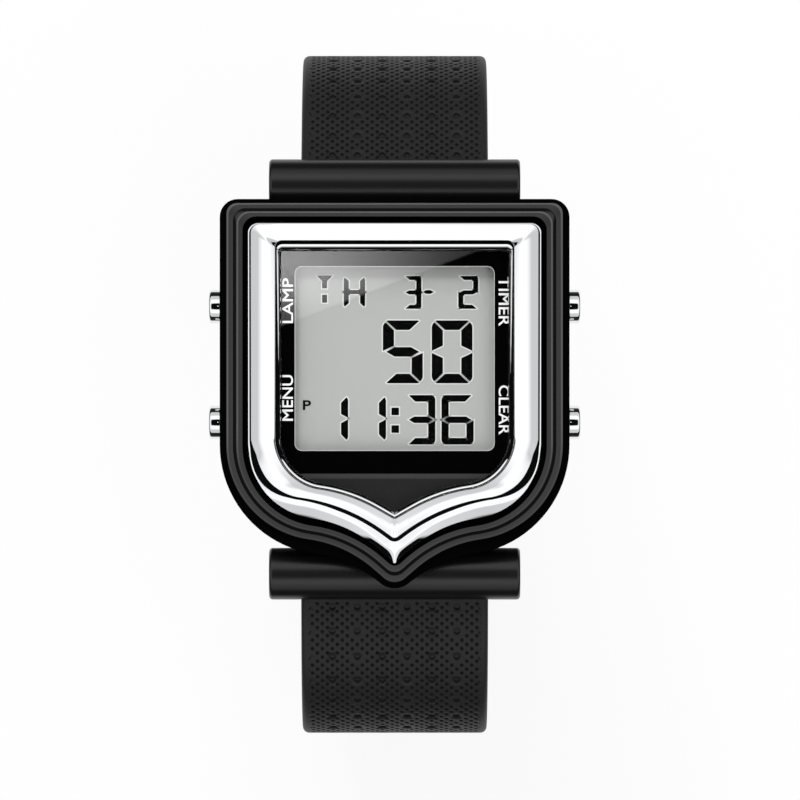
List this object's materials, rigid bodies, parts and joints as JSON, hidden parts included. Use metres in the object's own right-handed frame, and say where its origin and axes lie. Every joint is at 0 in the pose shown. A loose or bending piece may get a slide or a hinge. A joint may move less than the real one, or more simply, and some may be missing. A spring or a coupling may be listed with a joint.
{
  "type": "sports watch",
  "caption": "Digital sports watch with a shield-shaped black case, chrome inner bezel, side push-buttons and an open rubber strap with a pin buckle.",
  "frame": {"origin": "on the floor under the middle of the watch: the middle of its bounding box's base", "axes": "+Z out of the dial, +Y towards 12 o'clock, +X towards 3 o'clock; z = 0 is the floor that the flat tail of the open strap rests on"},
  "size_m": [0.0418, 0.0778, 0.0712],
  "materials": {
    "case_plastic": "satin",
    "bezel_plastic": "satin",
    "chrome": "polished",
    "crystal_glass": "polished",
    "seal_rubber": "matte",
    "mask_print": "gloss",
    "panel_print": "matte",
    "polarizer_film": "satin",
    "display_glass": "polished",
    "segment_ink": "matte",
    "reflector_foil": "satin",
    "guide_acrylic": "polished",
    "lamp_resin": "gloss",
    "zebra_rubber": "matte",
    "frame_plastic": "matte",
    "board_laminate": "satin",
    "chip_resin": "matte",
    "bright_steel": "satin",
    "spring_steel": "satin",
    "component_tan": "satin",
    "contact_gold": "satin",
    "back_steel": "brushed",
    "strap_rubber": "matte",
    "buckle_steel": "polished"
  },
  "bodies": {
    "case": {"case_body": "case_plastic", "front_bezel": "bezel_plastic", "chrome_bezel": "chrome", "crystal": "crystal_glass", "crystal_gasket": "seal_rubber", "display_mask": "mask_print", "lower_dial_panel": "panel_print", "lcd_front_polarizer": "polarizer_film", "lcd_front_glass": "display_glass", "lcd_segments": "segment_ink", "lcd_rear_glass": "display_glass", "lcd_reflector": "reflector_foil", "light_guide": "guide_acrylic", "led_lamp": "lamp_resin", "zebra_connectors": "zebra_rubber", "module_frame": "frame_plastic", "circuit_board": "board_laminate", "controller_chip": "chip_resin", "quartz_crystal": "bright_steel", "smd_components": "component_tan", "boost_coil": "component_tan", "battery": "bright_steel", "battery_clip": "bright_steel", "battery_contact": "contact_gold", "switch_contacts": "contact_gold", "module_screws": "bright_steel", "piezo_disc": "contact_gold", "piezo_spring": "spring_steel", "case_back": "back_steel", "back_gasket": "seal_rubber", "case_back_screws": "bright_steel", "button_sleeves": "bright_steel", "button_seals": "seal_rubber", "light_button_spring": "spring_steel", "mode_button_spring": "spring_steel", "start_button_spring": "spring_steel", "reset_button_spring": "spring_steel", "spring_bar_tubes": "bright_steel", "spring_bar_springs": "spring_steel"},
    "light_button": {"light_button": "chrome", "light_button_clip": "bright_steel"},
    "mode_button": {"mode_button": "chrome", "mode_button_clip": "bright_steel"},
    "start_button": {"start_button": "chrome", "start_button_clip": "bright_steel"},
    "reset_button": {"reset_button": "chrome", "reset_button_clip": "bright_steel"},
    "upper_left_bar_pin": {"upper_left_bar_pin": "bright_steel"},
    "upper_right_bar_pin": {"upper_right_bar_pin": "bright_steel"},
    "lower_left_bar_pin": {"lower_left_bar_pin": "bright_steel"},
    "lower_right_bar_pin": {"lower_right_bar_pin": "bright_steel"},
    "upper_strap": {"upper_strap": "strap_rubber", "fixed_keeper": "strap_rubber"},
    "lower_strap": {"lower_strap": "strap_rubber"},
    "free_keeper": {"free_keeper": "strap_rubber"},
    "buckle": {"buckle_frame": "buckle_steel", "buckle_bar": "bright_steel"},
    "prong": {"buckle_prong": "buckle_steel"}
  },
  "joints": [
    {"name": "light_button_press", "type": "slide", "parent": "case", "child": "light_button", "axis": [1, 0, 0], "range_m": [0, 0.001], "stiffness_N_per_m": 800, "springref_m": -0.0005, "deforming": ["light_button_spring"]},
    {"name": "mode_button_press", "type": "slide", "parent": "case", "child": "mode_button", "axis": [1, 0, 0], "range_m": [0, 0.001], "stiffness_N_per_m": 800, "springref_m": -0.0005, "deforming": ["mode_button_spring"]},
    {"name": "start_button_press", "type": "slide", "parent": "case", "child": "start_button", "axis": [-1, 0, 0], "range_m": [0, 0.001], "stiffness_N_per_m": 800, "springref_m": -0.0005, "deforming": ["start_button_spring"]},
    {"name": "reset_button_press", "type": "slide", "parent": "case", "child": "reset_button", "axis": [-1, 0, 0], "range_m": [0, 0.001], "stiffness_N_per_m": 800, "springref_m": -0.0005, "deforming": ["reset_button_spring"]},
    {"name": "upper_left_bar_pin_slide", "type": "slide", "parent": "case", "child": "upper_left_bar_pin", "axis": [1, 0, 0], "range_m": [0, 0.0009], "stiffness_N_per_m": 400, "springref_m": -0.0005, "deforming": ["spring_bar_springs"]},
    {"name": "upper_right_bar_pin_slide", "type": "slide", "parent": "case", "child": "upper_right_bar_pin", "axis": [-1, 0, 0], "range_m": [0, 0.0009], "stiffness_N_per_m": 400, "springref_m": -0.0005, "deforming": ["spring_bar_springs"]},
    {"name": "lower_left_bar_pin_slide", "type": "slide", "parent": "case", "child": "lower_left_bar_pin", "axis": [1, 0, 0], "range_m": [0, 0.0009], "stiffness_N_per_m": 400, "springref_m": -0.0005, "deforming": ["spring_bar_springs"]},
    {"name": "lower_right_bar_pin_slide", "type": "slide", "parent": "case", "child": "lower_right_bar_pin", "axis": [-1, 0, 0], "range_m": [0, 0.0009], "stiffness_N_per_m": 400, "springref_m": -0.0005, "deforming": ["spring_bar_springs"]},
    {"name": "upper_strap_swivel", "type": "hinge", "parent": "case", "child": "upper_strap", "pos_m": [0, 0.0238, 0.0633], "axis": [1, 0, 0], "range_deg": [0, 48]},
    {"name": "lower_strap_swivel", "type": "hinge", "parent": "case", "child": "lower_strap", "pos_m": [0, -0.02075, 0.0633], "axis": [-1, 0, 0], "range_deg": [0, 24]},
    {"name": "free_keeper_slide", "type": "hinge", "parent": "upper_strap", "child": "free_keeper", "pos_m": [0, 0.0176, 0.04172], "axis": [1, 0, 0], "range_deg": [0, 26]},
    {"name": "buckle_swivel", "type": "hinge", "parent": "upper_strap", "child": "buckle", "pos_m": [0, 0.0056, 0.02172], "axis": [-1, 0, 0], "range_deg": [-50, 110]},
    {"name": "prong_swivel", "type": "hinge", "parent": "buckle", "child": "prong", "pos_m": [0, 0.0056, 0.02172], "axis": [1, 0, 0], "range_deg": [0, 55]}
  ]
}
